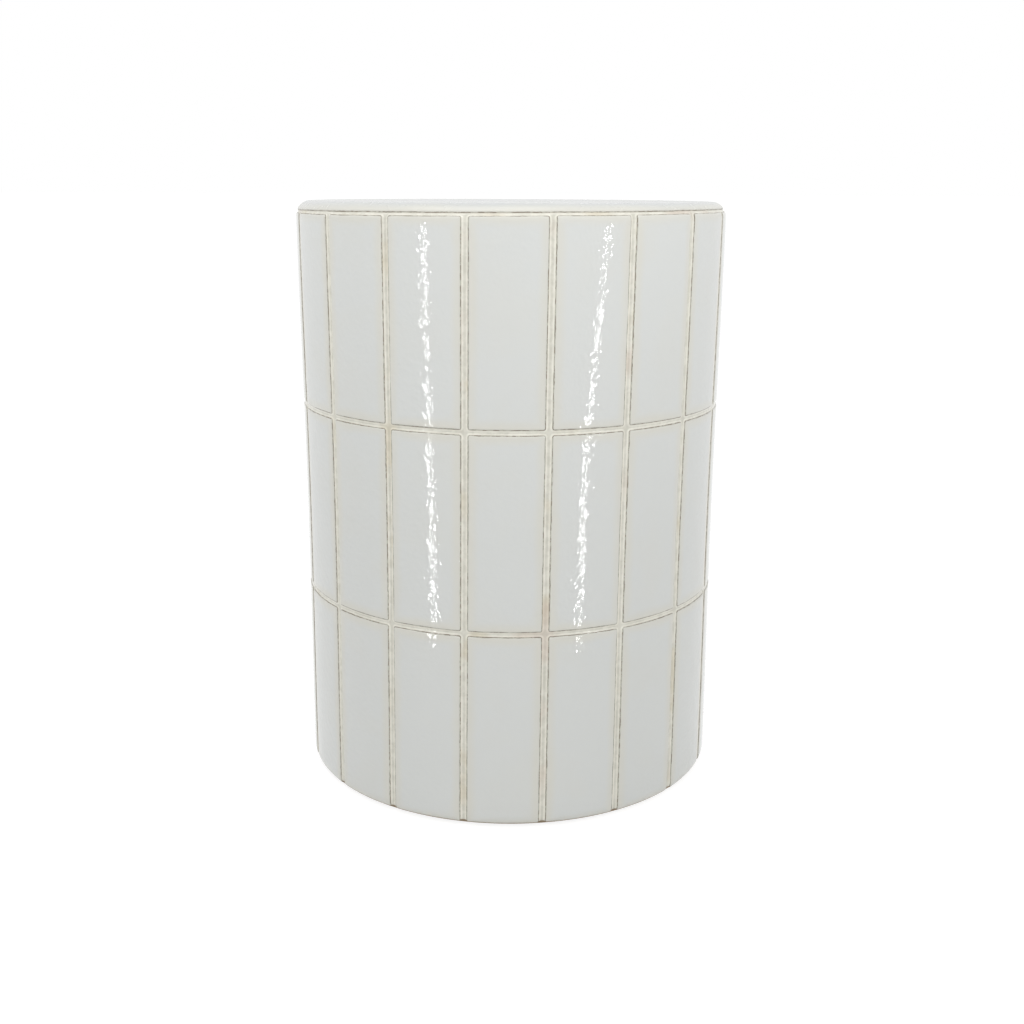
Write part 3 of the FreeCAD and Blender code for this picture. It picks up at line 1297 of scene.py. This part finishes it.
@dataclass
class Pads:
    """Four stick-on pads under the foot. Their flat rings are shares of the radius."""

    count: int = 4
    diameter: float = 18.0 * MM
    rounding: float = 0.6 * MM
    rounding_steps: int = 4
    underside_rings: tuple[float, ...] = (0.4, 0.8)
    top_ring: float = 0.5
    sides: int = 48
    slot: str = "pad_rubber"

    def build(self, rubber: bpy.types.Material) -> None:
        """Builds the pads as one piece.

        Args:
            rubber: Their material.
        """
        low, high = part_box("foot_pads")
        circle = (high.x - self.diameter / 2) / math.cos(math.pi / 4)
        angle = np.linspace(0, 2 * math.pi, self.sides, endpoint=False)
        radius = self.diameter / 2
        outline = [(share * radius, low.z) for share in self.underside_rings]
        for turn in np.linspace(0, math.pi / 2, self.rounding_steps + 1):
            drawn_in, raised = (self.rounding * (1 - part) for part in (math.sin(turn), math.cos(turn)))
            outline.append((radius - drawn_in, low.z + raised))
        outline += [(radius, high.z), (self.top_ring * radius, high.z)]
        points, faces = [], []
        for number in range(self.count):
            turn = 2 * math.pi * (number + 0.5) / self.count
            middle = np.array([circle * math.cos(turn), circle * math.sin(turn), 0.0])
            start = len(points)
            for ring_radius, height in outline:
                points += list(around(np.array(ring_radius), np.array(height), angle) + middle)
            rows = np.arange(start, len(points)).reshape(len(outline), self.sides)
            faces += [face for pair in zip(rows, rows[1:]) for face in quad_strip(*pair, True)]
            faces += [tuple(rows[0][::-1].tolist()), tuple(rows[-1].tolist())]
        blank = np.zeros(len(points))
        piece = show("rubber_pads", np.array(points), faces, blank, blank)
        piece.data.materials.append(rubber)
        settle(piece, self.slot, "foot_pads")


# Studio


@dataclass(frozen=True)
class PhotoCamera:
    """The camera, as worked out from the photograph."""

    distance: float = 1.0085
    height: float = 0.4599
    beside: float = math.radians(1.03)
    pitch: float = math.radians(14.476)
    yaw: float = math.radians(0.098)
    roll: float = math.radians(0.25)
    lens: float = 44.19
    sensor: float = 36.0
    nearest: float = 0.05
    farthest: float = 100.0

    def place(self) -> None:
        """Adds the camera and makes it the scene's own."""
        data = bpy.data.cameras.new("photo_camera")
        data.lens, data.sensor_width = self.lens, self.sensor
        data.clip_start, data.clip_end = self.nearest, self.farthest
        camera = bpy.data.objects.new("photo_camera", data)
        flat = math.cos(self.pitch)
        ahead = Vector((math.sin(self.yaw) * flat, math.cos(self.yaw) * flat, -math.sin(self.pitch)))
        right = Vector((math.cos(self.yaw), -math.sin(self.yaw), 0.0))
        up = right.cross(ahead)
        tilted_right = math.cos(self.roll) * right + math.sin(self.roll) * up
        tilted_up = math.cos(self.roll) * up - math.sin(self.roll) * right
        axes = Matrix((tilted_right, tilted_up, -ahead)).transposed().to_4x4()
        stand = Matrix.Translation((0.0, -self.distance, self.height))
        camera.matrix_world = Matrix.Rotation(self.beside, 4, "Z") @ stand @ axes
        bpy.context.scene.collection.objects.link(camera)
        bpy.context.scene.camera = camera


class Rays(Enum):
    """What a lamp acts on."""

    ALL = "all"
    DIFFUSE = "diffuse"
    GLOSSY = "glossy"


@dataclass(frozen=True)
class Lamp:
    """A rectangular lamp whose middle line runs between two ends and that faces a point."""

    name: str
    low: Place
    high: Place
    towards: Place
    width: float
    power: float
    rays: Rays = Rays.ALL

    def place(self) -> None:
        """Adds the lamp."""
        low, high = Vector(self.low), Vector(self.high)
        data = bpy.data.lights.new(self.name, "AREA")
        data.shape, data.size, data.size_y = "RECTANGLE", self.width, (high - low).length
        data.energy = self.power
        lamp = bpy.data.objects.new(self.name, data)
        middle, along = (low + high) / 2, (high - low).normalized()
        back = middle - Vector(self.towards)
        back = (back - back.dot(along) * along).normalized()
        axes = Matrix((along.cross(back), along, back)).transposed().to_4x4()
        lamp.matrix_world = Matrix.Translation(middle) @ axes
        lamp.visible_camera = False
        lamp.visible_diffuse = self.rays is not Rays.GLOSSY
        lamp.visible_glossy = self.rays is not Rays.DIFFUSE
        bpy.context.scene.collection.objects.link(lamp)


@dataclass(frozen=True)
class Studio:
    """A white studio: pale floor, soft light all round, soft lamps above and narrow strips.

    The strips are only seen in the glaze, left and right of the camera. floor_lift is how much of
    the floor that the camera sees is its own glow, which keeps the object's shadow faint.
    """

    surround: float = 0.665
    floor_size: float = 160.0
    floor_colour: Colour = (0.86, 0.86, 0.85, 1.0)
    floor_lift: float = 0.7
    floor_glow: float = 1.25
    drum_top: Place = (0.0, 0.0, 0.38)
    drum_middle: Place = (0.0, 0.0, 0.22)
    side_width: float = 0.2
    strip_width: float = 5.0 * MM
    strip_power: float = 0.72

    def light_world(self) -> None:
        """Sets the surrounding light, and the white that the camera and the glaze see."""
        shader = Shader(bpy.data.worlds.new("studio"))
        bpy.context.scene.world = shader.owner
        soft = shader.node("ShaderNodeBackground", {}, {"Color": WHITE, "Strength": self.surround})
        white = shader.node("ShaderNodeBackground", {}, {"Color": WHITE})
        mixed = shader.node("ShaderNodeMixShader", {}, {0: shader.seen(), 1: soft, 2: white})
        shader.node("ShaderNodeOutputWorld", {}, {"Surface": mixed})

    def lay_floor(self) -> None:
        """Adds the floor, which shows white where nothing shades it."""
        half = self.floor_size / 2
        corners = [(-half, -half, 0.0), (half, -half, 0.0), (half, half, 0.0), (-half, half, 0.0)]
        mesh = bpy.data.meshes.new("floor")
        mesh.from_pydata(corners, [], [(0, 1, 2, 3)])
        floor = bpy.data.objects.new("floor", mesh)
        bpy.context.scene.collection.objects.link(floor)
        shader = Shader(bpy.data.materials.new("pale_floor"))
        matte = shader.node("ShaderNodeBsdfDiffuse", {}, {"Color": self.floor_colour})
        white = shader.node("ShaderNodeEmission", {}, {"Color": WHITE, "Strength": self.floor_glow})
        lifted = shader.seen() * self.floor_lift
        mixed = shader.node("ShaderNodeMixShader", {}, {0: lifted, 1: matte, 2: white})
        shader.node("ShaderNodeOutputMaterial", {}, {"Surface": mixed})
        mesh.materials.append(shader.owner)

    def lamps(self) -> list[Lamp]:
        """Gives the lamps: one above, one on each side, and the narrow strips.

        Returns:
            The lamps. Side lamps light the colour alone, and strips the gloss alone.
        """
        side = (self.drum_top, self.side_width)
        strip = (self.drum_middle, self.strip_width)
        left_foot, left_head = (-0.310, -0.461, 0.0), (-0.334, -0.441, 0.43)
        right_foot, right_bend = (0.306, -0.465, 0.0), (0.322, -0.453, 0.19)
        right_head = (0.386, -0.394, 0.44)
        # A strip's power goes by its length, so that all of them are equally bright.
        return [
            Lamp("soft_lamp", (-0.3, -1.2, 2.2), (-0.3, 0.2, 2.2), (0.0, -0.5, 0.3), 1.4, 9.0),
            Lamp("right_lamp", (0.43, -0.55, 0.52), (0.43, -0.55, 0.72), *side, 1.35, Rays.DIFFUSE),
            Lamp("left_lamp", (-0.48, -0.51, 0.52), (-0.48, -0.51, 0.72), *side, 0.95, Rays.DIFFUSE),
            Lamp("left_strip", left_foot, left_head, *strip, 0.43 * self.strip_power, Rays.GLOSSY),
            Lamp("right_strip", right_foot, right_bend, *strip, 0.19 * self.strip_power, Rays.GLOSSY),
            Lamp("high_strip", right_bend, right_head, *strip, 0.26 * self.strip_power, Rays.GLOSSY),
        ]

    def set_up(self) -> None:
        """Adds the light, the floor and the camera."""
        bpy.context.scene.view_settings.view_transform = "Standard"
        self.light_world()
        self.lay_floor()
        for lamp in self.lamps():
            lamp.place()
        PhotoCamera().place()


def main() -> None:
    """Builds the stool's pieces in order, and then the studio."""
    logging.basicConfig(level=logging.INFO, format="%(name)s %(message)s")
    relief = Relief()
    ground = Ground(relief)
    clay = Clay().material()
    panel_glaze = Glaze("white_panel_glaze").material()
    groove_glaze = Glaze("cream_groove_glaze").material()
    # The seat's glaze is the white glaze painted darker, as painted shade against the stronger light
    # that falls on the seat's top.
    seat_glaze = Glaze("white_seat_glaze_painted_darker", plain=paint(204, 206, 205), gloss=0.25).material()
    panels = RaisedPanels(relief)
    for row in Row:
        for column in range(relief.columns):
            panels.build(row, column, panel_glaze)
    DrumBody(ground).build(groove_glaze, clay)
    Seat(ground).build(seat_glaze, clay)
    Foot(ground).build(clay, groove_glaze)
    Pads().build(Rubber().material())
    Studio().set_up()


if __name__ == "__main__":
    main()
